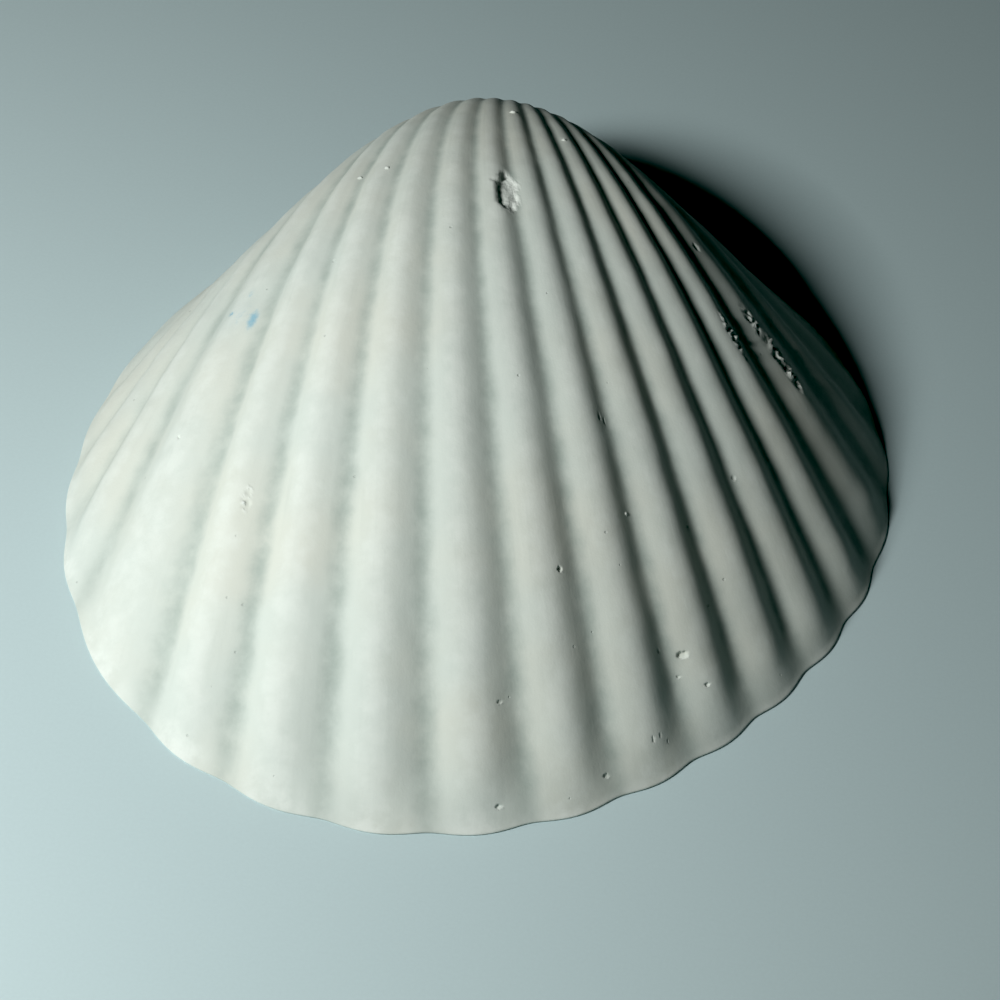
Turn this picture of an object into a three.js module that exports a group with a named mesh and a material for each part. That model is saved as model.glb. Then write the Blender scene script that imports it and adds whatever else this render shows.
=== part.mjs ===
// One valve of a large ribbed clam shell, lying hollow side down on its rim.
// Millimetres, +Z up. The front (ventral) edge points to -Y, the beak to +Y, and the rim lies in z = 0.
//
// A shell grows by adding material along its edge, so every growth line has the shape of the edge,
// only smaller. Here each line is the edge loop, shrunk towards the beak and turned about it, and the
// ribs are a wave in the edge loop that every growth line repeats.
import * as THREE from 'three';

// Edge loop, seen from above. Angles run from the front edge (0) towards +X and are in degrees.
const HALF_WIDTH = 143;
const FRONT_REACH = 157;
const BACK_REACH = 153;
const LEAN = [-0.038, -0.066, -0.013];   // share of the radius added as sin a, sin 2a and sin 3a
const HINGE_Y = 146;                     // the straight hinge edge at the back
const HINGE_ROUNDING = 10;

// Growth spiral
const BEAK = new THREE.Vector3(1, 154, 5.2);
const COIL_AXIS = new THREE.Vector3(-1, -0.323, -0.271).normalize();
const SHRINK = 1.007;                    // size falls by exp(-SHRINK) in each radian of turn
const SHRINK_GAIN = 0.079;
const COIL_END = 2.9;                    // radians of turn from the edge to the tip of the beak

// Ribs
const GROOVE_NUMBERS = [-14, -6, -5, 5, 6, 14];              // grooves between which the ribs are evenly wide
const GROOVE_ANGLES = [-159.5, -58, -39, 83.5, 99, 200.5];   // their places on the edge loop
const RIB_DEPTH = 5.6;
const GROOVE_SOFTNESS = 0.45;            // 0 gives sharp grooves between round ribs
const RIB_MEAN = 0.66;                   // part of the rib height that lies below the plain surface
const RIB_FADE_LEFT = [35, 140];         // the ribs die out towards the hinge, degrees from the front
const RIB_FADE_RIGHT = [70, 150];
const EDGE_HEIGHT = 0.3;                 // part of the rib height that is left on the edge itself
const EDGE_ZONE = 0.06;                  // radians of turn in which they reach full height
const BEAK_HEIGHT = 0.6;                 // part of the rib height that is left on the worn beak
const BEAK_ZONE = [0.9, 1.8];

// Wall and hollow
const RIM_WIDTH = 6.5;
const WALL_WIDTH = 13;                   // measured across a growth line, away from the rim
const WALL_ZONE = 0.3;
const HINGE_PLATE_WIDTH = 10;            // extra width of the wall under the hinge
const HINGE_PLATE_SPAN = 40;             // degrees on each side of the hinge
const CRENULATION = 1.4;                 // the ribs show on the inside of the rim
const HOLLOW_ROUND_START = 0.85;         // radians of turn where the hollow starts to close
const HOLLOW_END = 1.35;

// Facets
const COLUMNS_PER_RIB = 4;
const OUTER_ROWS = 24;
const HOLLOW_ROWS = 10;
const OUTER_ROW_CROWDING = 1.15;

const shellColour = new THREE.MeshStandardMaterial({
  name: 'chalk_shell', color: 0xd3dcd3, roughness: 0.85, metalness: 0,
});

const toRadians = THREE.MathUtils.degToRad;

function smoothMinimum(a, b, rounding) {
  const mix = THREE.MathUtils.clamp(0.5 + 0.5 * (b - a) / rounding, 0, 1);
  return THREE.MathUtils.lerp(b, a, mix) - rounding * mix * (1 - mix);
}

// Point of the edge loop without ribs, in the plane z = 0.
function edgePoint(degrees) {
  const angle = toRadians(degrees);
  const back = THREE.MathUtils.smoothstep((1 - Math.cos(angle)) / 2, 0, 1);
  const reach = THREE.MathUtils.lerp(FRONT_REACH, BACK_REACH, back);
  const oval = 1 / Math.hypot(Math.sin(angle) / HALF_WIDTH, Math.cos(angle) / reach);
  const lean = LEAN.reduce((sum, share, i) => sum + share * Math.sin((i + 1) * angle), 1);
  const y = -oval * lean * Math.cos(angle);
  return new THREE.Vector3(oval * lean * Math.sin(angle), smoothMinimum(y, HINGE_Y, HINGE_ROUNDING), 0);
}

// Direction out of the edge loop, in its own plane.
function edgeOutward(degrees) {
  const step = 0.05;
  const along = edgePoint(degrees + step).sub(edgePoint(degrees - step));
  return new THREE.Vector3(along.y, -along.x, 0).normalize();
}

// Value of the broken line that joins the points (from, to).
function readLine(value, from, to) {
  const piece = from.findIndex((_, i) => i + 2 === from.length || value < from[i + 1]);
  return THREE.MathUtils.mapLinear(value, from[piece], from[piece + 1], to[piece], to[piece + 1]);
}

// Number of ribs from the middle groove, so that each whole number is a groove.
function ribCount(degrees) {
  const start = GROOVE_ANGLES[0];
  const turned = THREE.MathUtils.euclideanModulo(degrees - start, 360) + start;
  return readLine(turned, GROOVE_ANGLES, GROOVE_NUMBERS);
}

// Height of the rib wave, in parts of the rib depth, about the plain surface.
function ribWave(degrees) {
  const plain = Math.sin(Math.PI * ribCount(degrees));
  const rise = Math.hypot(plain, GROOVE_SOFTNESS) - GROOVE_SOFTNESS;
  const crest = rise / (Math.hypot(1, GROOVE_SOFTNESS) - GROOVE_SOFTNESS);
  const turned = THREE.MathUtils.euclideanModulo(degrees + 180, 360) - 180;
  const fadedRight = THREE.MathUtils.smoothstep(turned, ...RIB_FADE_RIGHT);
  const fadedLeft = THREE.MathUtils.smoothstep(-turned, ...RIB_FADE_LEFT);
  return (crest - RIB_MEAN) * (1 - Math.max(fadedRight, fadedLeft));
}

// Carries a point of the edge plane, given from the beak, along the growth spiral.
function grow(fromBeak, turn) {
  return fromBeak.applyAxisAngle(COIL_AXIS, turn).add(BEAK);
}

function lineScale(turn) {
  return Math.exp(-(SHRINK + SHRINK_GAIN * turn) * turn);
}

function outerPoint(degrees, turn) {
  const grown = THREE.MathUtils.lerp(EDGE_HEIGHT, 1, THREE.MathUtils.smoothstep(turn, 0, EDGE_ZONE));
  const worn = (1 - BEAK_HEIGHT) * THREE.MathUtils.smoothstep(turn, ...BEAK_ZONE);
  const ribs = edgeOutward(degrees).multiplyScalar(RIB_DEPTH * (grown - worn) * ribWave(degrees));
  return grow(edgePoint(degrees).sub(BEAK).add(ribs).multiplyScalar(lineScale(turn)), turn);
}

function wallWidth(degrees, turn) {
  const fromHinge = Math.abs(THREE.MathUtils.euclideanModulo(degrees, 360) - 180);
  const plate = 1 - THREE.MathUtils.smoothstep(fromHinge, 0, HINGE_PLATE_SPAN);
  const wall = THREE.MathUtils.lerp(RIM_WIDTH, WALL_WIDTH, THREE.MathUtils.smoothstep(turn, 0, WALL_ZONE));
  const rimOnly = 1 - THREE.MathUtils.smoothstep(turn, 0, EDGE_ZONE);
  return wall + HINGE_PLATE_WIDTH * plate - CRENULATION * rimOnly * ribWave(degrees);
}

// The hollow follows the same spiral, drawn in by the wall, and closes as a dome under the beak.
function hollowPoint(degrees, turn) {
  const scale = lineScale(turn);
  const edge = edgePoint(degrees);
  const inward = edge.clone().normalize().multiplyScalar(wallWidth(degrees, turn));
  const closing = Math.max(0, (turn - HOLLOW_ROUND_START) / (HOLLOW_END - HOLLOW_ROUND_START));
  const spread = edge.multiplyScalar(scale).sub(inward).multiplyScalar(Math.sqrt(1 - closing ** 2));
  return grow(spread.addScaledVector(BEAK, -scale), turn);
}

function range(count, valueAt) {
  return Array.from({ length: count }, (_, i) => valueAt(i));
}

// Angles of the columns, which keep step with the ribs.
function columnAngles() {
  const first = GROOVE_NUMBERS[0];
  const ribs = GROOVE_NUMBERS.at(-1) - first;
  return range(ribs * COLUMNS_PER_RIB, (i) => (
    readLine(first + i / COLUMNS_PER_RIB, GROOVE_NUMBERS, GROOVE_ANGLES)
  ));
}

// Closed skin: the outside from the tip of the beak to the edge, across the flat rim, and the hollow.
function valveGeometry() {
  const outerTurns = range(OUTER_ROWS + 1, (i) => COIL_END * (1 - i / OUTER_ROWS) ** OUTER_ROW_CROWDING);
  const hollowTurns = range(HOLLOW_ROWS, (i) => HOLLOW_END * i / HOLLOW_ROWS);
  const columns = columnAngles();
  const count = columns.length;
  const rows = [
    ...outerTurns.map((turn) => columns.map((degrees) => outerPoint(degrees, turn))),
    ...hollowTurns.map((turn) => columns.map((degrees) => hollowPoint(degrees, turn))),
  ];
  const points = rows.flat();
  const tip = points.length;
  const beakRow = rows[0];
  points.push(beakRow.reduce((sum, p) => sum.add(p), new THREE.Vector3()).divideScalar(count));
  points.push(hollowPoint(0, HOLLOW_END));

  const faces = [];
  for (let i = 0; i < count; i += 1) {
    const next = (i + 1) % count;
    faces.push(tip, i, next);
    for (let row = 0; row < rows.length - 1; row += 1) {
      const a = row * count + i;
      const b = row * count + next;
      faces.push(a, a + count, b, b, a + count, b + count);
    }
    const last = (rows.length - 1) * count;
    faces.push(last + i, tip + 1, last + next);
  }

  const geometry = new THREE.BufferGeometry().setFromPoints(points);
  geometry.setIndex(faces);
  return geometry;
}

// The origin is the middle of the footprint, on the surface that the rim rests on.
function centreOnFootprint(geometry) {
  geometry.computeBoundingBox();
  const middle = geometry.boundingBox.getCenter(new THREE.Vector3());
  geometry.translate(-middle.x, -middle.y, 0);
  geometry.computeVertexNormals();
  return geometry;
}

const valve = new THREE.Mesh(centreOnFootprint(valveGeometry()), shellColour);
valve.name = 'shell_valve';

const clamShell = new THREE.Group();
clamShell.name = 'clam_shell';
clamShell.add(valve);

export default clamShell;
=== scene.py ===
"""Builds the looks of one valve of a large ribbed clam shell, lying hollow side down, and its studio."""

import math

import bmesh
import bpy
import numpy as np
from bpy.props import FloatProperty, FloatVectorProperty, PointerProperty
from bpy.types import Operator, Panel, PropertyGroup
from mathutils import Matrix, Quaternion, Vector, noise


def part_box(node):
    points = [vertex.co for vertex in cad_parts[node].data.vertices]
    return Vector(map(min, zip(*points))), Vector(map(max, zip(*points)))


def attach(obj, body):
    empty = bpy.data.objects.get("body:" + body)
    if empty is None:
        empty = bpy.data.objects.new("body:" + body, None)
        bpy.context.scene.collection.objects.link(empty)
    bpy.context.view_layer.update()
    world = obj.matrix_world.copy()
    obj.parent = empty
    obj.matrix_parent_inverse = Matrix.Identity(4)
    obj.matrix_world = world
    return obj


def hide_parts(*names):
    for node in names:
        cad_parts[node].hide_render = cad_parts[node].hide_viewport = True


bl_info = {
    "name": "Ribbed Clam Valve",
    "version": (1, 0, 0),
    "blender": (4, 5, 0),
    "location": "3D View > Sidebar > Clam Valve",
    "description": "Grows one chalky ribbed shell valve along its coil and sets it on a plain floor",
    "category": "Add Mesh",
}

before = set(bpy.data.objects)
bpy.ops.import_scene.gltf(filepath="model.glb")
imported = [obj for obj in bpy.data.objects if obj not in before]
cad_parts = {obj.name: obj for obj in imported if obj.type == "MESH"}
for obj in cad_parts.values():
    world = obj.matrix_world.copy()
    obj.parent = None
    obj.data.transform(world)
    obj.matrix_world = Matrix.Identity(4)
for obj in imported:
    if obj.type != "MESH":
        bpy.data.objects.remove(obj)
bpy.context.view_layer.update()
CAD_NODE = "shell_valve"

MM = 0.001

# Edge loop, ribs and wall of the construction. Sizes are in metres, angles in degrees from the front
# edge towards +X, turns in radians along the coil from the edge to the beak.
HINGE_ROUNDING = 10 * MM
EDGE_LEAN = (-0.038, -0.066, -0.013)      # share of the radius added as sin a, sin 2a and sin 3a
BEAK = np.array((1, 154, 5.2)) * MM
COIL_AXIS = np.array((-1, -0.323, -0.271)) / math.hypot(1, 0.323, 0.271)
SHRINK = 1.007                            # size falls by exp(-SHRINK) in each radian of turn
SHRINK_GAIN = 0.079
COIL_END = 2.9
GROOVE_NUMBERS = (-14, -6, -5, 5, 6, 14)  # grooves between which the ribs are evenly wide
GROOVE_ANGLES = (-159.5, -58, -39, 83.5, 99, 200.5)
RIB_MEAN = 0.66                           # part of the rib height that lies below the plain surface
RIB_FADE_LEFT = (35, 140)                 # degrees from the front between which the ribs die out
RIB_FADE_RIGHT = (70, 150)
EDGE_HEIGHT = 0.3                         # part of the rib height that is left on the edge itself
EDGE_ZONE = 0.06                          # turn in which they reach full height
BEAK_HEIGHT = 0.6                         # part of the rib height that is left on the worn beak
BEAK_ZONE = (0.9, 1.8)
WALL_ZONE = 0.3                           # turn in which the wall reaches its full width
HINGE_PLATE_SPAN = 40                     # degrees on each side of the hinge
HOLLOW_ROUND_START = 0.85                 # turn where the hollow starts to close
HOLLOW_END = 1.35

# The net of the skin. "Along" runs down the skin: 0 at the tip of the beak, 1 where the nose of the edge
# starts, 2 where it meets the flat rim, 3 where the hollow starts and 4 at the top of the hollow.
COLUMNS = 480
OUTSIDE_ROWS = 150
NOSE_ROWS = 6
RIM_ROWS = 6
HOLLOW_ROWS = 30
ROW_EVENNESS = 1.16                       # spreads the rows evenly over the shrinking growth lines
HALVE_COLUMNS_AT = (0.85, 2.0)            # turns on the outside past which half of the columns do
HALVE_HOLLOW_AT = 3.35                    # place in the hollow past which they do too
HOLLOW_ROW_CROWDING = 1.3                 # draws the rows of the hollow towards the rim
GROOVE_CROWDING = 0.45                    # draws the columns together in the grooves
CROWDING_FADE = (115, 135)                # degrees from the front between which that ends
NOSE_LENGTH = 1.9 * MM                    # how far up the outside the rounding of the edge starts
NOSE_WIDTH = 0.55                         # parts of that length: where the rounding meets the flat rim,
NOSE_BULGE = 0.2                          # and how far its control point lies outwards
NOSE_LIFT = 0.16                          # and upwards of the corner
LIP_LIFT = 0.5 * MM                       # how far the inner lip of the rim is off the floor
LIP_START = 0.75                          # part of the rim's width where the lip starts
LIP_END = 3.1                             # place in the hollow where its lift has died out

# Waves of the surface, and how far up from the floor they reach full height.
SLOW_WAVE = 26 * MM
QUICK_WAVE = 9 * MM
CALM_EDGE = 8 * MM
SEED_STEPS = (7.13, 3.71, 5.37)           # moves the noise of each seed away from the others

# The net is cut finer round the marks.
CUTTING_ROUNDS = 3
FINE_EDGE = 0.49 * MM                     # edges no longer than this stay whole,
FINE_SHARE = 0.126                        # and so do those up to this part of the mark's reach
CUTTING_REACH = 1.25                      # how far out edges are cut, in parts of the mark's reach

# Outline of a mark, in parts of its half width and half length, and what is near enough to belong to it.
RAGGEDNESS = 0.3
FRAYING = 0.12
RAGGED_SIZE = 0.45                        # size of those waves, in parts of the mark's reach
FRAYED_SIZE = 0.15
MARK_SPREAD = 1.8
MARK_RADIUS = 2                           # parts of the mark's reach

# What the material reads.
PLAIN_CREST = 0.7                         # crest value on the rim and in the hollow
MARGIN_TURN = 0.03                        # radians of turn over which the worn margin fades
STREAK_STEPS = (0.9, 6)                   # streaks per degree and per radian of turn

# Finish: sizes of its features, and its relief in millimetres.
CLOUD_SIZE = 55 * MM
MOTTLE_SIZE = 9 * MM
LUMP_SIZE = 3 * MM
BLOT_SIZE = 2 * MM
BREAK_SIZE = 1.6 * MM
GRAIN_SIZE = 0.8 * MM
PORE_SPACING = 6 * MM
SMALLEST_PORE = 0.035                     # parts of the spacing
PORE_GAIN = 0.06
PORELESS_SHARE = 0.86                     # share of the cells that have no pore
MOTTLE_RELIEF = 0.07
LUMP_RELIEF = 0.06
GRAIN_RELIEF = 0.045
STREAK_RELIEF = 0.03
PORE_DEPTH = 0.15
BREAK_RELIEF = 0.5

# Studio, in metres. The lights' directions are from the middle of the valve.
FLOOR_HALF = 3.0
FLOOR_GAP = 0.1 * MM
KEY_DIRECTION = (-0.62, -0.48, 0.65)
KEY_DISTANCE = 0.9
KEY_SIZE = 0.2
KEY_COLOUR = (1.0, 1.0, 0.98)
FILL_DIRECTION = (0.7, -0.9, 0.9)
FILL_DISTANCE = 2.0
FILL_SIZE = 1.5
FILL_COLOUR = (0.9, 0.96, 1.0)
ROOM_COLOUR = (0.3, 0.6, 0.55)
ROOM_STRENGTH = 0.01
AIM = Vector((5.5 * MM, -37.5 * MM, 30 * MM))    # point that the camera looks at
BLACK_LEVEL = (0.011, 0.008, 0.009)       # light that shows as black

# Marks on the outside. Each has its place, counted in ribs to the right of the middle groove, so that a
# half is a crest, and in radians of turn up from the edge. Its half width across the ribs, half length
# along them and depth follow, in millimetres, and a negative depth stands proud.
CHIPS = (
    (-0.2, 0.77, 4.4, 10.5, 1.8),
)
CRUMBLED = (
    (5.5, 0.30, 3.0, 15.0, 1.5),
    (5.4, 0.39, 2.2, 7.0, 1.2),
    (4.6, 0.40, 2.3, 11.0, 1.1),
    (-4.3, 0.25, 2.0, 5.0, 0.35),
)
NICKS = (
    (5.3, 0.58, 1.5, 2.2, 1.6),
    (1.2, 0.09, 2.8, 1.8, 1.1),
    (1.4, 0.06, 1.3, 1.0, 0.7),
    (-5.5, 0.26, 0.9, 0.9, 0.8),
    (-3.9, 0.60, 0.8, 0.8, 0.5),
    (-0.3, 0.21, 1.4, 1.3, 1.0),
    (1.9, 0.20, 0.9, 1.0, 0.6),
    (1.8, 0.12, 0.8, 0.8, 0.5),
    (1.1, 0.07, 1.0, 0.8, 0.5),
    (0.9, 0.10, 0.7, 1.2, 0.4),
    (-1.3, 0.02, 1.6, 1.2, 0.6),
    (-0.1, 0.02, 1.5, 1.2, 0.5),
    (-1.2, 0.10, 1.2, 1.0, 0.4),
    (3.1, 0.22, 1.0, 1.3, 0.4),
    (-5.6, 0.45, 1.9, 0.8, 0.6),
)
SCRATCHES = (
    (0.5, 0.04, 0.5, 1.9, 0.35),
    (0.6, 0.04, 0.5, 1.6, 0.3),
    (0.7, 0.03, 0.4, 1.2, 0.25),
    (0.8, 0.36, 0.5, 2.2, 0.45),
    (0.9, 0.35, 0.5, 1.6, 0.4),
)
BLISTERS = (
    (0.4, 1.14, 1.1, 1.1, -0.7),
    (-3.3, 0.85, 0.8, 0.8, -0.5),
    (2.3, 0.99, 0.8, 0.8, -0.5),
    (-4.1, 0.82, 0.8, 0.8, -0.5),
    (0.9, 0.24, 0.6, 0.6, -0.3),
)

# Stains, with a strength from 0 to 1 in place of the depth.
STAINS = (
    (-5.6, 0.45, 2.4, 1.4, 1.0),
    (-5.2, 0.46, 3.0, 6.0, 1.0),
    (-5.4, 0.50, 2.0, 3.0, 0.6),
    (-5.4, 0.46, 7.0, 10.0, 0.4),
)


def smoothstep(value, low, high):
    share = np.clip((value - low) / (high - low), 0, 1)
    return share * share * (3 - 2 * share)


def fade(value, start, end):
    """1 below the start, 0 above the end and smooth between."""
    return 1 - smoothstep(value, start, end)


def smooth_minimum(a, b, rounding):
    mix = np.clip(0.5 + 0.5 * (b - a) / rounding, 0, 1)
    return b + (a - b) * mix - rounding * mix * (1 - mix)


def from_front(degrees):
    return np.abs(np.mod(degrees + 180, 360) - 180)


def rib_count(degrees):
    """Number of ribs from the middle groove, so that each whole number is a groove."""
    start = GROOVE_ANGLES[0]
    return np.interp(np.mod(degrees - start, 360) + start, GROOVE_ANGLES, GROOVE_NUMBERS)


class Form:
    """The valve's surface as a function of its angle round the edge and its place along the skin."""

    def __init__(self, sizes):
        self.sizes = sizes
        self.shift = np.zeros(3)

    def edge(self, degrees):
        """Point of the edge loop without ribs, in the plane z = 0."""
        sizes, angle = self.sizes, np.radians(degrees)
        back = smoothstep((1 - np.cos(angle)) / 2, 0, 1)
        reach = sizes.front_reach + (sizes.back_reach - sizes.front_reach) * back
        oval = 1 / np.hypot(np.sin(angle) / sizes.half_width, np.cos(angle) / reach)
        lean = 1 + sum(share * np.sin((i + 1) * angle) for i, share in enumerate(EDGE_LEAN))
        y = smooth_minimum(-oval * lean * np.cos(angle), sizes.hinge_y, HINGE_ROUNDING)
        return np.stack([oval * lean * np.sin(angle), y, 0 * y], -1)

    def outward(self, degrees):
        step = 0.05
        along = self.edge(degrees + step) - self.edge(degrees - step)
        out = np.stack([along[:, 1], -along[:, 0], 0 * along[:, 0]], -1)
        return out / np.linalg.norm(out, axis=1, keepdims=True)

    def crest(self, degrees):
        """Height across a rib: 0 in the groove, 1 on the crest."""
        plain, soft = np.abs(np.sin(np.pi * rib_count(degrees))), self.sizes.groove_softness
        return (np.hypot(plain, soft) - soft) / (math.hypot(1, soft) - soft)

    def rib_wave(self, degrees):
        """Height of the rib wave, in parts of the rib depth, about the plain surface."""
        signed = np.mod(degrees + 180, 360) - 180
        faded = np.maximum(smoothstep(signed, *RIB_FADE_RIGHT), smoothstep(-signed, *RIB_FADE_LEFT))
        return (self.crest(degrees) - RIB_MEAN) * (1 - faded)

    def grow(self, from_beak, turn):
        """Carries a point of the edge plane, given from the beak, along the coil."""
        cos, sin = np.cos(turn)[:, None], np.sin(turn)[:, None]
        along = (from_beak @ COIL_AXIS)[:, None] * COIL_AXIS
        return from_beak * cos + np.cross(COIL_AXIS, from_beak) * sin + along * (1 - cos) + BEAK

    def line_scale(self, turn):
        return np.exp(-(SHRINK + SHRINK_GAIN * turn) * turn)[:, None]

    def outside(self, degrees, turn):
        height = EDGE_HEIGHT + (1 - EDGE_HEIGHT) * smoothstep(turn, 0, EDGE_ZONE)
        height = height - (1 - BEAK_HEIGHT) * smoothstep(turn, *BEAK_ZONE)
        lift = self.sizes.rib_depth * height * self.rib_wave(degrees)
        ribbed = self.edge(degrees) - BEAK + self.outward(degrees) * lift[:, None]
        return self.grow(ribbed * self.line_scale(turn), turn)

    def wall(self, degrees, turn):
        sizes = self.sizes
        plate = fade(from_front(degrees + 180), 0, HINGE_PLATE_SPAN)
        wall = sizes.rim_width + (sizes.wall_width - sizes.rim_width) * smoothstep(turn, 0, WALL_ZONE)
        rim_only = fade(turn, 0, EDGE_ZONE)
        return wall + sizes.hinge_plate * plate - sizes.crenulation * rim_only * self.rib_wave(degrees)

    def hollow(self, degrees, turn):
        edge = self.edge(degrees)
        inward = edge / np.linalg.norm(edge, axis=1, keepdims=True) * self.wall(degrees, turn)[:, None]
        closing = np.clip((turn - HOLLOW_ROUND_START) / (HOLLOW_END - HOLLOW_ROUND_START), 0, 1)
        spread = (edge * self.line_scale(turn) - inward) * np.sqrt(1 - closing**2)[:, None]
        return self.grow(spread - BEAK * self.line_scale(turn), turn)

    def nose_turn(self, degrees):
        """Turn at which the rounding of the edge starts."""
        step = 0.002
        start, end = (self.outside(degrees, np.full_like(degrees, t)) for t in (0, step))
        return NOSE_LENGTH * step / np.linalg.norm(end - start, axis=1)

    def turn(self, degrees, along):
        """Turn of a place on the outside, with the rows spread evenly over the growth lines."""
        nose = self.nose_turn(degrees)
        reach = 1 - math.exp(-ROW_EVENNESS * COIL_END)
        share = -np.log(1 - reach * (1 - np.clip(along, 0, 1))) / (ROW_EVENNESS * COIL_END)
        return nose + (COIL_END - nose) * share

    def nose(self, degrees, share):
        """The rounded edge, from the outside to the flat rim."""
        start = self.outside(degrees, self.nose_turn(degrees))
        corner = self.outside(degrees, np.zeros_like(degrees))
        inward = self.hollow(degrees, np.zeros_like(degrees)) - corner
        inward /= np.linalg.norm(inward, axis=1, keepdims=True)
        size = np.linalg.norm(start - corner, axis=1, keepdims=True)
        end = corner + inward * size * NOSE_WIDTH
        control = corner - inward * size * NOSE_BULGE + np.array((0, 0, NOSE_LIFT)) * size
        share = share[:, None]
        return start * (1 - share) ** 2 + control * 2 * share * (1 - share) + end * share**2

    def rim(self, degrees, share):
        """The flat rim, rounded over into the hollow."""
        start = self.nose(degrees, np.ones_like(degrees))
        inner = self.hollow(degrees, np.zeros_like(degrees))
        point = start + (inner - start) * share[:, None]
        point[:, 2] += LIP_LIFT * smoothstep(share, LIP_START, 1)
        return point

    def point(self, degrees, along):
        """Point of the skin, in the frame's place."""
        made = np.empty((len(along), 3))
        stretches = (
            (along <= 1, lambda a, s: self.outside(a, self.turn(a, s))),
            ((along > 1) & (along <= 2), lambda a, s: self.nose(a, s - 1)),
            ((along > 2) & (along <= 3), lambda a, s: self.rim(a, s - 2)),
            (along > 3, lambda a, s: self.hollow(a, HOLLOW_END * (s - 3))),
        )
        for here, place in stretches:
            if here.any():
                made[here] = place(degrees[here], along[here])
        inside = along > 3
        made[inside, 2] += LIP_LIFT * fade(along[inside], 3, LIP_END)
        return made + self.shift


def column_angles():
    """Angles of the columns, closer together in the grooves."""
    even = GROOVE_ANGLES[0] + np.arange(COLUMNS) * 360 / COLUMNS
    ribs = rib_count(even)
    pitch = 1 / np.gradient(ribs, even)
    crowd = GROOVE_CROWDING * pitch * np.sin(2 * np.pi * ribs) / (2 * np.pi)
    return even - crowd * fade(from_front(even), *CROWDING_FADE)


def place_of_turn(turn):
    """Place along the outside that a turn would have if the edge had no nose."""
    return 1 - (1 - math.exp(-ROW_EVENNESS * turn)) / (1 - math.exp(-ROW_EVENNESS * COIL_END))


def skin_rows():
    """Places along the skin, each with the number of columns it has."""
    rows = []
    limits = [place_of_turn(turn) for turn in HALVE_COLUMNS_AT]
    for i in range(OUTSIDE_ROWS + 1):
        along = i / OUTSIDE_ROWS
        halvings = sum(along < limit for limit in limits)
        rows.append((along, COLUMNS >> halvings))
    rows += [(1 + (i + 1) / NOSE_ROWS, COLUMNS) for i in range(NOSE_ROWS)]
    rows += [(2 + (i + 1) / RIM_ROWS, COLUMNS) for i in range(RIM_ROWS)]
    for i in range(HOLLOW_ROWS):
        along = 3 + ((i + 1) / (HOLLOW_ROWS + 1)) ** HOLLOW_ROW_CROWDING
        rows.append((along, COLUMNS if along < HALVE_HOLLOW_AT else COLUMNS // 2))
    return rows


def skin_net():
    """Angle and place of each point of the skin, and the faces between them."""
    angles = column_angles()
    degrees, along, faces, starts = [], [], [], []
    rows = skin_rows()
    for place, columns in rows:
        starts.append(len(degrees))
        degrees += list(angles[::COLUMNS // columns])
        along += [place] * columns
    for row in range(len(rows) - 1):
        upper, lower = rows[row][1], rows[row + 1][1]
        a, b = starts[row], starts[row + 1]
        for i in range(max(upper, lower)):
            faces += band_faces(i, upper, lower, a, b)
    tip, top = len(degrees), len(degrees) + 1
    degrees += [0.0, 0.0]
    along += [0.0, 4.0]
    first, last = rows[0][1], rows[-1][1]
    faces += [(tip, starts[0] + i, starts[0] + (i + 1) % first) for i in range(first)]
    faces += [(top, starts[-1] + (i + 1) % last, starts[-1] + i) for i in range(last)]
    return np.array(degrees), np.array(along), faces


def band_faces(i, upper, lower, a, b):
    """Faces of one step round the band between two rows, of which one may have half of the columns."""
    if upper == lower:
        j = (i + 1) % upper
        return [(a + i, b + i, b + j, a + j)]
    if lower > upper:
        near, far = i // 2, (i // 2 + 1) % upper
        if i % 2 == 0:
            return [(a + near, b + i, b + i + 1)]
        return [(a + near, b + i, a + far), (b + i, b + (i + 1) % lower, a + far)]
    near, far = i // 2, (i // 2 + 1) % lower
    if i % 2 == 0:
        return [(a + i, b + near, a + i + 1)]
    return [(a + i, b + near, b + far), (a + i, b + far, a + (i + 1) % upper)]


class Mark:
    """One mark's place on the outside, with its directions across and along the ribs."""

    def __init__(self, form, rib, turn, half_width, half_length, depth=0.0):
        angle_step, turn_step = 0.5, 0.01
        angle = np.interp(rib, GROOVE_NUMBERS, GROOVE_ANGLES)
        angles = np.array([angle, angle + angle_step, angle])
        turns = np.array([turn, turn, turn + turn_step])
        self.centre, across, along = form.outside(angles, turns) + form.shift
        self.along = (along - self.centre) / np.linalg.norm(along - self.centre)
        across = (across - self.centre) - ((across - self.centre) @ self.along) * self.along
        self.across = across / np.linalg.norm(across)
        self.half = np.array((half_width, half_length)) * MM
        self.depth = depth * MM

    def local(self, points):
        """Places from the mark's centre, in its half width and half length."""
        away = points - self.centre
        return np.stack([away @ self.across, away @ self.along], -1) / self.half

    def reach(self):
        return self.half.max()


def noise_at(points, size, seed=0.0):
    """Smooth noise from -1 to 1 with features of the given size."""
    offset = Vector([seed * step for step in SEED_STEPS])
    return np.array([noise.noise(Vector(p) / size + offset) for p in points])


def refine(net, marks):
    """Cuts the faces round each mark until they are fine enough to carry it."""
    spots = np.array([mark.centre for mark in marks])
    reaches = np.array([mark.reach() for mark in marks])
    for _ in range(CUTTING_ROUNDS):
        coarse = []
        for edge in net.edges:
            middle = (edge.verts[0].co + edge.verts[1].co) / 2
            gaps = np.linalg.norm(spots - np.array(middle), axis=1)
            nearest = np.argmin(gaps - reaches)
            reach, length = reaches[nearest], edge.calc_length()
            near = gaps[nearest] < reach * CUTTING_REACH + length
            if near and length > max(FINE_EDGE, reach * FINE_SHARE):
                coarse.append(edge)
        if coarse:
            bmesh.ops.subdivide_edges(net, edges=coarse, cuts=1, use_grid_fill=True)


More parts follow.
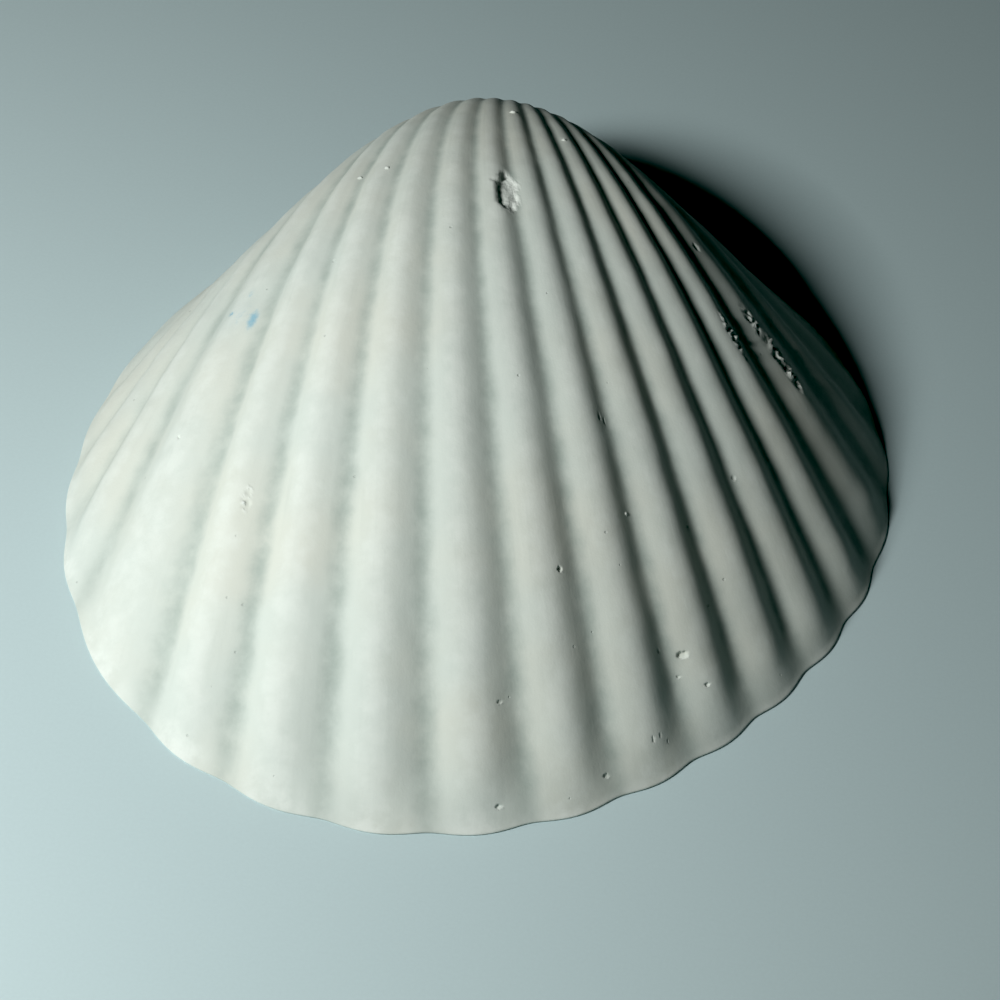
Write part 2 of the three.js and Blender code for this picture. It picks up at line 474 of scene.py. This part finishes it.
class Sizes(PropertyGroup):
    """Sizes of the valve."""

    half_width: FloatProperty(
        name="Half width", description="Half of the plain edge loop's width",
        default=0.143, unit="LENGTH")
    front_reach: FloatProperty(
        name="Front reach", description="Centre of the edge loop to the front edge",
        default=0.157, unit="LENGTH")
    back_reach: FloatProperty(
        name="Back reach", description="Centre of the edge loop to the back",
        default=0.153, unit="LENGTH")
    hinge_y: FloatProperty(
        name="Hinge line", description="Place of the straight hinge edge",
        default=0.146, unit="LENGTH")
    rib_depth: FloatProperty(
        name="Rib depth", description="Groove to crest, where the ribs have their full height",
        default=0.0056, unit="LENGTH")
    groove_softness: FloatProperty(
        name="Groove softness", description="Rounding of the bottom of the grooves", default=0.45)
    rim_width: FloatProperty(
        name="Rim width", description="Width of the flat rim", default=0.0065, unit="LENGTH")
    wall_width: FloatProperty(
        name="Wall width", description="Wall across a growth line, away from the rim",
        default=0.013, unit="LENGTH")
    hinge_plate: FloatProperty(
        name="Hinge plate", description="Extra width of the wall under the hinge",
        default=0.010, unit="LENGTH")
    crenulation: FloatProperty(
        name="Crenulation", description="How far the ribs show on the inside of the rim",
        default=0.0014, unit="LENGTH")
    unevenness: FloatProperty(
        name="Unevenness", description="Height of the slow waves in the surface",
        default=0.00035, unit="LENGTH")


class Colours(PropertyGroup):
    """Colours of the chalky surface."""

    chalk: FloatVectorProperty(
        name="Chalk", description="The clean surface", subtype="COLOR", default=(0.64, 0.71, 0.66))
    # Dust colour that also paints shade: it darkens the grooves and the pores, and the growth-line streaks
    # and grain.
    shade: FloatVectorProperty(
        name="Dust", description="Dust that lies in the grooves", subtype="COLOR",
        default=(0.38, 0.45, 0.41))
    warm: FloatVectorProperty(
        name="Warm cloud", description="Slightly warmer patches", subtype="COLOR",
        default=(0.67, 0.71, 0.64))
    # Fresh chalk colour, which also paints a highlight on the crests.
    fresh: FloatVectorProperty(
        name="Fresh break", description="Clean chalk in chips and on worn crests", subtype="COLOR",
        default=(0.80, 0.86, 0.81))
    stain: FloatVectorProperty(
        name="Stain", description="Old blue stain", subtype="COLOR", default=(0.12, 0.42, 0.60))
    roughness: FloatProperty(
        name="Roughness", description="Roughness of the clean surface", default=0.82, min=0, max=1,
        subtype="FACTOR")


class Studio(PropertyGroup):
    """Floor, lights and camera."""

    floor: FloatVectorProperty(
        name="Floor", description="Colour of the floor", subtype="COLOR", default=(0.56, 0.70, 0.72))
    key_power: FloatProperty(
        name="Key light", description="Power of the main light", default=7.8, unit="POWER")
    fill_power: FloatProperty(
        name="Fill light", description="Power of the weak light opposite", default=0.05, unit="POWER")
    lens: FloatProperty(
        name="Lens", description="Focal length", default=108.2, unit="CAMERA")
    distance: FloatProperty(
        name="Camera distance", description="Camera to the point that it looks at",
        default=1.024, unit="LENGTH")
    elevation: FloatProperty(
        name="Camera elevation", description="Angle above the floor",
        default=math.radians(46.9), unit="ROTATION")
    roll: FloatProperty(
        name="Camera roll", description="Turn of the camera about its own line of sight",
        default=math.radians(7.96), unit="ROTATION")


class Sock:
    """A socket's value. Arithmetic on it adds Math nodes."""

    def __init__(self, finish, socket):
        self.finish = finish
        self.socket = socket

    def math(self, operation, *values):
        sockets = dict(enumerate(values))
        return self.finish.node("ShaderNodeMath", {"operation": operation}, sockets)

    def __add__(self, other):
        return self.math("ADD", self, other)

    __radd__ = __add__

    def __sub__(self, other):
        return self.math("SUBTRACT", self, other)

    def __rsub__(self, other):
        return self.math("SUBTRACT", other, self)

    def __mul__(self, other):
        return self.math("MULTIPLY", self, other)

    __rmul__ = __mul__

    def __truediv__(self, other):
        return self.math("DIVIDE", self, other)

    def __pow__(self, other):
        return self.math("POWER", self, other)

    def above(self, limit):
        return self.math("GREATER_THAN", self, limit)


class Finish:
    """A material whose nodes are made by one method."""

    def __init__(self, name):
        self.material = bpy.data.materials.new(name)
        self.material.use_nodes = True
        self.tree = self.material.node_tree
        self.tree.nodes.clear()

    def node(self, kind, settings=None, sockets=None, output=0):
        """Adds a node: its settings first, then its sockets' values or links."""
        made = self.tree.nodes.new(kind)
        for name, value in (settings or {}).items():
            setattr(made, name, value)
        for name, value in (sockets or {}).items():
            if isinstance(value, Sock):
                self.tree.links.new(value.socket, made.inputs[name])
            else:
                made.inputs[name].default_value = value
        return Sock(self, made.outputs[output]) if made.outputs else made

    def attribute(self, name, output="Fac"):
        return self.node("ShaderNodeAttribute", {"attribute_name": name}, output=output)

    def noise(self, at, size, detail=2.0, roughness=0.5):
        sockets = {"Vector": at, "Scale": 1 / size, "Detail": detail, "Roughness": roughness}
        return self.node("ShaderNodeTexNoise", {}, sockets, "Fac")

    def ramp(self, value, low, high):
        """0 below low, 1 above high and smooth between."""
        settings = {"interpolation_type": "SMOOTHSTEP"}
        return self.node("ShaderNodeMapRange", settings, {"Value": value, "From Min": low, "From Max": high})

    def mix(self, share, first, second):
        settings = {"data_type": "RGBA", "blend_type": "MIX"}
        return self.node("ShaderNodeMix", settings, {"Factor": share, 6: first, 7: second}, 2)


def rgba(colour):
    return (*colour, 1.0)


def pore_mask(finish, at):
    """Scattered round air holes of different sizes, in a few of the cells of a net."""
    cells = {"Vector": at, "Scale": 1 / PORE_SPACING, "Randomness": 1.0}
    gap = finish.node("ShaderNodeTexVoronoi", {"feature": "F1"}, cells, "Distance")
    cell_colour = finish.node("ShaderNodeTexVoronoi", {"feature": "F1"}, cells, "Color")
    pick = finish.node("ShaderNodeSeparateColor", {}, {0: cell_colour})
    size = SMALLEST_PORE + PORE_GAIN * pick * pick
    return (1 - finish.ramp(gap / size, 0.55, 1.0)) * pick.above(PORELESS_SHARE)


def chalk_finish(colours):
    """Matte bleached shell: clouded chalk, dust and painted shade in the grooves, pores with painted shade,
    worn crests with a painted highlight, and a blue stain.
    """
    finish = Finish("chalk_shell")
    at = finish.node("ShaderNodeTexCoord", output="Object")
    crest = finish.attribute("crest")
    broken = finish.attribute("broken")
    stained = finish.attribute("stained")
    margin = finish.attribute("margin")
    lines = finish.attribute("growth_net", "Vector")

    cloud = finish.noise(at, CLOUD_SIZE, 3.0)
    mottle = finish.noise(at, MOTTLE_SIZE, 4.0, 0.6)
    lumps = finish.noise(at, LUMP_SIZE, 3.0, 0.55)
    blots = finish.noise(at, BLOT_SIZE, 4.0, 0.7)
    splinters = finish.noise(at, BREAK_SIZE, 4.0, 0.7)
    grain = finish.noise(at, GRAIN_SIZE, 3.0, 0.65)
    streaks = finish.noise(lines, 1.0, 3.0, 0.6)
    pores = pore_mask(finish, at)

    # Darker towards the bottom of the grooves: partly dust, partly painted shade that deepens the grooves.
    groove_dust_and_shade = (1 - crest) ** 1.5 * (0.35 + 0.9 * mottle)
    # Lighter on the crests: partly wear, partly a painted highlight.
    worn_crests_and_highlight = finish.ramp(crest * 0.6 + mottle * 0.8, 0.75, 1.15) * 0.5
    worn_margin = margin * finish.ramp(mottle, 0.4, 0.6) * 0.35
    spots = finish.ramp(stained * 0.8 + blots * 0.9, 0.7, 1.35) * 0.6 + stained * 0.1

    shade, fresh = rgba(colours.shade), rgba(colours.fresh)
    tone = finish.mix(finish.ramp(cloud, 0.35, 0.7), rgba(colours.chalk), rgba(colours.warm))
    tone = finish.mix(finish.ramp(groove_dust_and_shade, 0.25, 1.2), tone, shade)
    tone = finish.mix(worn_crests_and_highlight + worn_margin, tone, fresh)
    tone = finish.mix(finish.ramp(streaks, 0.5, 0.85) * 0.1, tone, shade)
    # Painted shade in the pores.
    tone = finish.mix(pores * 0.3, tone, shade)
    tone = finish.mix(finish.ramp(grain, 0.62, 0.8) * 0.15, tone, shade)
    tone = finish.mix(broken, tone, fresh)
    tone = finish.mix(spots, tone, rgba(colours.stain))

    relief = (mottle * MOTTLE_RELIEF + lumps * LUMP_RELIEF + grain * GRAIN_RELIEF
              + streaks * STREAK_RELIEF - pores * PORE_DEPTH + broken * splinters * BREAK_RELIEF)
    bump = finish.node("ShaderNodeBump", {}, {"Strength": 1.0, "Distance": MM, "Height": relief})
    roughness = colours.roughness + (mottle - 0.5) * 0.2 + broken * 0.1 - crest * 0.06
    surface = finish.node("ShaderNodeBsdfPrincipled", {}, {
        "Base Color": tone, "Roughness": roughness, "Normal": bump, "Specular IOR Level": 0.35})
    finish.node("ShaderNodeOutputMaterial", {}, {"Surface": surface})
    return finish.material


def floor_finish(colour):
    finish = Finish("plain_floor")
    at = finish.node("ShaderNodeTexCoord", output="Object")
    soft = finish.noise(at, 1.2 * MM, 2.0)
    tone = finish.mix(soft, rgba([c * 0.97 for c in colour]), rgba([c * 1.03 for c in colour]))
    surface = finish.node("ShaderNodeBsdfPrincipled", {}, {"Base Color": tone, "Roughness": 0.55})
    finish.node("ShaderNodeOutputMaterial", {}, {"Surface": surface})
    return finish.material


def store(mesh, name, values):
    attribute = mesh.attributes.new(name, "FLOAT", "POINT")
    attribute.data.foreach_set("value", np.asarray(values, np.float32))


def centred_form(sizes):
    """The form, moved so that its box has the construction's middle."""
    form = Form(sizes)
    degrees = np.arange(0, 360, 0.5)
    turns = np.arange(0, COIL_END, 0.05)
    points = np.concatenate([form.outside(degrees, np.full_like(degrees, turn)) for turn in turns])
    low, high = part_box(CAD_NODE)
    middle = (np.array(low) + np.array(high)) / 2
    form.shift = middle - (points.min(0) + points.max(0)) / 2
    form.shift[2] = 0
    return form


def chip_shape(local, gap, here, number):
    """A broken hollow with a lumpy floor, deeper on one side and freshest on the other; its duller colour on
    the deep side is painted shade.
    """
    lumps = noise_at(here, 2.2 * MM, number + 7) + 0.6 * noise_at(here, 0.9 * MM, number + 9)
    deep = smoothstep(0.3 * local[:, 1] - local[:, 0], -0.5, 0.6)
    cut = fade(gap, 0.78, 0.98) * (0.35 + 0.75 * deep + 0.38 * lumps)
    # Fresh break colour, half as strong on the deep side: painted shade there.
    return cut, fade(gap, 0.85, 1.05) * (1 - 0.5 * deep)


def crumbled_shape(local, gap, here, number):
    """A patch of small pits and crumbs, of which the crumbs are fresh."""
    bits = noise_at(here, 1.7 * MM, number + 4) + 0.5 * noise_at(here, 0.8 * MM, number + 6)
    patch = fade(gap, 0.6, 1.0)
    return patch * (0.3 + 1.6 * bits), patch * smoothstep(-bits, -0.1, 0.4)


def nick_shape(local, gap, here, number):
    """A small pit that is steeper on one side."""
    slope = 0.55 + 0.45 * smoothstep(local[:, 1] - local[:, 0], -0.9, 0.9)
    fresh = 0.5 * fade(gap, 0.7, 1.1) * fade(local[:, 1], -0.6, 0.3)
    return fade(gap, 0.35, 0.95) * slope, fresh


def scratch_shape(local, gap, here, number):
    """A thin shallow groove."""
    return fade(gap, 0.2, 1.0), 0.25 * fade(gap, 0.7, 1.1)


def blister_shape(local, gap, here, number):
    """A small round bump."""
    return np.sqrt(np.clip(1 - gap**2, 0, 1)), 0.8 * fade(gap, 0.8, 1.1)


MARK_SHAPES = (
    (chip_shape, CHIPS),
    (crumbled_shape, CRUMBLED),
    (nick_shape, NICKS),
    (scratch_shape, SCRATCHES),
    (blister_shape, BLISTERS),
)


def carve(points, normals, outer, shape, marks, broken):
    """Moves the outer points in and out by the marks, and notes where the surface is freshly broken."""
    for number, mark in enumerate(marks):
        local = mark.local(points)
        near = np.flatnonzero(outer & (np.hypot(*local.T) < MARK_SPREAD))
        near = near[np.linalg.norm(points[near] - mark.centre, axis=1) < mark.reach() * MARK_RADIUS]
        if not len(near):
            continue
        here, local = points[near], local[near]
        ragged = RAGGEDNESS * noise_at(here, mark.reach() * RAGGED_SIZE, number + 1)
        ragged += FRAYING * noise_at(here, mark.reach() * FRAYED_SIZE, 3)
        cut, fresh = shape(local, np.hypot(*local.T) + ragged, here, number)
        points[near] -= normals[near] * (mark.depth * cut)[:, None]
        broken[near] = np.maximum(broken[near], fresh)


def grown_mesh(form, marks):
    """Plain skin, finer round the marks, with the angle and the place along the skin of each point."""
    degrees, along, faces = skin_net()
    net = bmesh.new()
    angle_layer = net.verts.layers.float.new("angle")
    along_layer = net.verts.layers.float.new("along")
    verts = [net.verts.new(point) for point in form.point(degrees, along)]
    for vert, angle, place in zip(verts, degrees, along):
        vert[angle_layer] = angle
        vert[along_layer] = place
    for face in faces:
        net.faces.new([verts[i] for i in face])
    refine(net, marks)

    degrees = np.array([vert[angle_layer] for vert in net.verts])
    along = np.array([vert[along_layer] for vert in net.verts])
    bmesh.ops.recalc_face_normals(net, faces=net.faces)
    mesh = bpy.data.meshes.new("clam_valve")
    net.to_mesh(mesh)
    net.free()
    mesh.vertices.foreach_set("co", form.point(degrees, along).ravel())
    mesh.update()
    return mesh, degrees, along


def stain_mask(points, stains):
    """How strongly each point is stained."""
    stained = np.zeros(len(points))
    for mark, strength in stains:
        near = np.linalg.norm(points - mark.centre, axis=1) < mark.reach() * MARK_RADIUS
        faint = fade(np.hypot(*mark.local(points).T), 0.1, 1.3)
        stained = np.maximum(stained, strength * np.where(near, faint, 0))
    return stained


def valve_mesh(sizes):
    """The whole valve with its marks, and the values that its finish reads."""
    form = centred_form(sizes)
    marks = [(shape, [Mark(form, *row) for row in rows]) for shape, rows in MARK_SHAPES]
    stains = [(Mark(form, *row), strength) for *row, strength in STAINS]
    spots = [mark for _, group in marks for mark in group] + [mark for mark, _ in stains]
    mesh, degrees, along = grown_mesh(form, spots)
    points = form.point(degrees, along)
    normals = np.empty(points.size)
    mesh.vertex_normals.foreach_get("vector", normals)
    normals = normals.reshape(-1, 3)

    outside = along <= 1
    calm = np.where(outside, smoothstep(points[:, 2], 0, CALM_EDGE), 0.0)
    waves = noise_at(points, SLOW_WAVE, 2) + 0.5 * noise_at(points, QUICK_WAVE, 5)
    points += normals * (waves * sizes.unevenness * calm)[:, None]
    broken = np.zeros(len(points))
    for shape, group in marks:
        carve(points, normals, along <= 2, shape, group, broken)
    points[:, 2] = np.maximum(points[:, 2], 0)
    mesh.vertices.foreach_set("co", points.ravel())

    turns = np.where(outside, form.turn(degrees, along), 0.0)
    crest = np.clip(form.rib_wave(degrees) + RIB_MEAN, 0, 1)
    store(mesh, "crest", np.where(along <= 2, crest, PLAIN_CREST))
    store(mesh, "broken", broken)
    store(mesh, "stained", np.where(outside, stain_mask(points, stains), 0))
    store(mesh, "margin", np.where(along <= 3, fade(turns, 0, MARGIN_TURN), 0))
    per_degree, per_radian = STREAK_STEPS
    lines = mesh.attributes.new("growth_net", "FLOAT_VECTOR", "POINT")
    places = np.stack([degrees * per_degree, turns * per_radian, 0 * turns], -1)
    lines.data.foreach_set("vector", places.astype(np.float32).ravel())
    mesh.polygons.foreach_set("use_smooth", np.ones(len(mesh.polygons), bool))
    mesh.update()
    return mesh


class AddValve(Operator):
    """Grows the valve, marks its surface and gives it its chalky finish"""

    bl_idname = "mesh.clam_valve_add"
    bl_label = "Add Clam Valve"

    def execute(self, context):
        mesh = valve_mesh(context.scene.clam_sizes)
        valve = bpy.data.objects.new("clam_valve", mesh)
        context.scene.collection.objects.link(valve)
        mesh.materials.append(chalk_finish(context.scene.clam_colours))
        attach(valve, "root")
        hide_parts(CAD_NODE)
        return {"FINISHED"}


def add_light(name, target, direction, distance, size, power, colour):
    """A square area light that faces the target."""
    data = bpy.data.lights.new(name, "AREA")
    data.size = size
    data.energy = power
    data.color = colour
    light = bpy.data.objects.new(name, data)
    away = Vector(direction).normalized()
    light.location = Vector(target) + away * distance
    light.rotation_mode = "QUATERNION"
    light.rotation_quaternion = away.to_track_quat("Z", "Y")
    bpy.context.scene.collection.objects.link(light)


def add_floor(colour):
    mesh = bpy.data.meshes.new("floor")
    corners = [(x * FLOOR_HALF, y * FLOOR_HALF, 0) for x, y in ((-1, -1), (1, -1), (1, 1), (-1, 1))]
    mesh.from_pydata(corners, [], [(0, 1, 2, 3)])
    mesh.materials.append(floor_finish(colour))
    floor = bpy.data.objects.new("floor", mesh)
    floor.location.z = -FLOOR_GAP
    bpy.context.scene.collection.objects.link(floor)


def add_room():
    """Dim light from all round."""
    world = bpy.data.worlds.new("dim_room")
    world.use_nodes = True
    background = world.node_tree.nodes["Background"]
    background.inputs["Color"].default_value = rgba(ROOM_COLOUR)
    background.inputs["Strength"].default_value = ROOM_STRENGTH
    bpy.context.scene.world = world


def add_camera(studio):
    scene = bpy.context.scene
    data = bpy.data.cameras.new("camera")
    data.lens = studio.lens
    camera = bpy.data.objects.new("camera", data)
    back = Vector((0, -math.cos(studio.elevation), math.sin(studio.elevation)))
    camera.location = AIM + back * studio.distance
    camera.rotation_mode = "QUATERNION"
    level = (-back).to_track_quat("-Z", "Y")
    camera.rotation_quaternion = level @ Quaternion((0, 0, 1), studio.roll)
    scene.collection.objects.link(camera)
    scene.camera = camera
    view = scene.view_settings
    view.view_transform = "Standard"
    view.use_curve_mapping = True
    view.curve_mapping.black_level = BLACK_LEVEL
    view.curve_mapping.update()


class AddStudio(Operator):
    """Adds the plain floor, the lights and the camera"""

    bl_idname = "scene.clam_studio_add"
    bl_label = "Add Studio"

    def execute(self, context):
        studio = context.scene.clam_studio
        low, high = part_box(CAD_NODE)
        middle = (low + high) / 2
        add_floor(studio.floor)
        add_light("key_light", middle, KEY_DIRECTION, KEY_DISTANCE, KEY_SIZE, studio.key_power, KEY_COLOUR)
        add_light("fill_light", middle, FILL_DIRECTION, FILL_DISTANCE, FILL_SIZE, studio.fill_power,
                  FILL_COLOUR)
        add_room()
        add_camera(studio)
        return {"FINISHED"}


class ClamPanel(Panel):
    """Lists the steps that make the valve and its studio"""

    bl_idname = "VIEW3D_PT_clam_valve"
    bl_label = "Clam Valve"
    bl_space_type = "VIEW_3D"
    bl_region_type = "UI"
    bl_category = "Clam Valve"

    def draw(self, context):
        for group in ("clam_sizes", "clam_colours", "clam_studio"):
            box = self.layout.box()
            settings = getattr(context.scene, group)
            for name in settings.__annotations__:
                box.prop(settings, name)
        for step in (AddValve, AddStudio):
            self.layout.operator(step.bl_idname)


CLASSES = (Sizes, Colours, Studio, AddValve, AddStudio, ClamPanel)


def register():
    for cls in CLASSES:
        bpy.utils.register_class(cls)
    bpy.types.Scene.clam_sizes = PointerProperty(type=Sizes)
    bpy.types.Scene.clam_colours = PointerProperty(type=Colours)
    bpy.types.Scene.clam_studio = PointerProperty(type=Studio)


def unregister():
    for name in ("clam_studio", "clam_colours", "clam_sizes"):
        delattr(bpy.types.Scene, name)
    for cls in reversed(CLASSES):
        bpy.utils.unregister_class(cls)


def main():
    register()
    bpy.ops.mesh.clam_valve_add()
    bpy.ops.scene.clam_studio_add()


if __name__ == "__main__":
    main()
